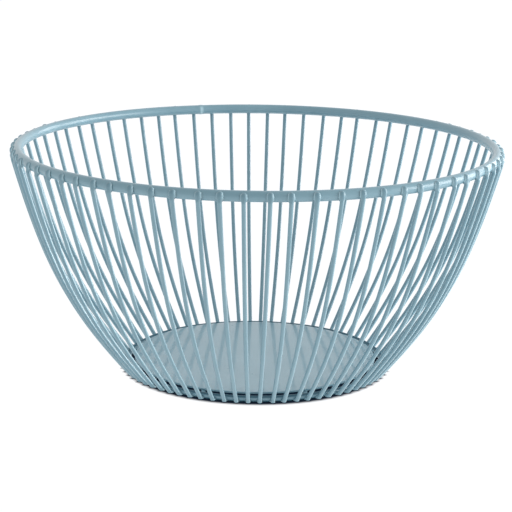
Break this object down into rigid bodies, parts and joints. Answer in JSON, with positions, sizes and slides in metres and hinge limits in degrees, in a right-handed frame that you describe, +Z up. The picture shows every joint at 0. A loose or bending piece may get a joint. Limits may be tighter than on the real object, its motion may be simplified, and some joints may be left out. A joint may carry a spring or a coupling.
{
  "type": "metal basket",
  "caption": "Round open basket of curved steel wires welded between a thick rim hoop and a small base ring, with a flat sheet floor.",
  "frame": {"origin": "centre of the ring of wire feet, on the surface that the basket stands on", "axes": "+Z up along the basket's own axis, X and Y alike"},
  "size_m": [0.2498, 0.2498, 0.1159],
  "materials": {
    "rim_coat": "satin powder coat",
    "rib_coat": "satin powder coat",
    "ring_coat": "satin powder coat",
    "floor_coat": "satin powder coat",
    "cross_wire_coat": "satin powder coat"
  },
  "bodies": {
    "root": {"base_plate": "floor_coat", "base_ring": "ring_coat", "cross_wire_left": "cross_wire_coat", "cross_wire_right": "cross_wire_coat", "rib_01": "rib_coat", "rib_02": "rib_coat", "rib_03": "rib_coat", "rib_05": "rib_coat", "rib_06": "rib_coat", "rib_07": "rib_coat", "rib_09": "rib_coat", "rib_10": "rib_coat", "rib_11": "rib_coat", "rib_13": "rib_coat", "rib_14": "rib_coat", "rib_15": "rib_coat", "rib_17": "rib_coat", "rib_18": "rib_coat", "rib_19": "rib_coat", "rib_21": "rib_coat", "rib_22": "rib_coat", "rib_23": "rib_coat", "rib_25": "rib_coat", "rib_26": "rib_coat", "rib_27": "rib_coat", "rib_29": "rib_coat", "rib_30": "rib_coat", "rib_31": "rib_coat", "rib_33": "rib_coat", "rib_34": "rib_coat", "rib_35": "rib_coat", "rib_37": "rib_coat", "rib_38": "rib_coat", "rib_39": "rib_coat", "rib_41": "rib_coat", "rib_42": "rib_coat", "rib_43": "rib_coat", "rib_45": "rib_coat", "rib_46": "rib_coat", "rib_47": "rib_coat", "rib_49": "rib_coat", "rib_50": "rib_coat", "rib_51": "rib_coat", "rib_53": "rib_coat", "rib_54": "rib_coat", "rib_55": "rib_coat", "rib_57": "rib_coat", "rib_58": "rib_coat", "rib_59": "rib_coat", "rib_61": "rib_coat", "rib_62": "rib_coat", "rib_63": "rib_coat", "rib_65": "rib_coat", "rib_66": "rib_coat", "rib_67": "rib_coat", "rib_69": "rib_coat", "rib_70": "rib_coat", "rib_71": "rib_coat", "rim_hoop": "rim_coat"}
  },
  "joints": []
}
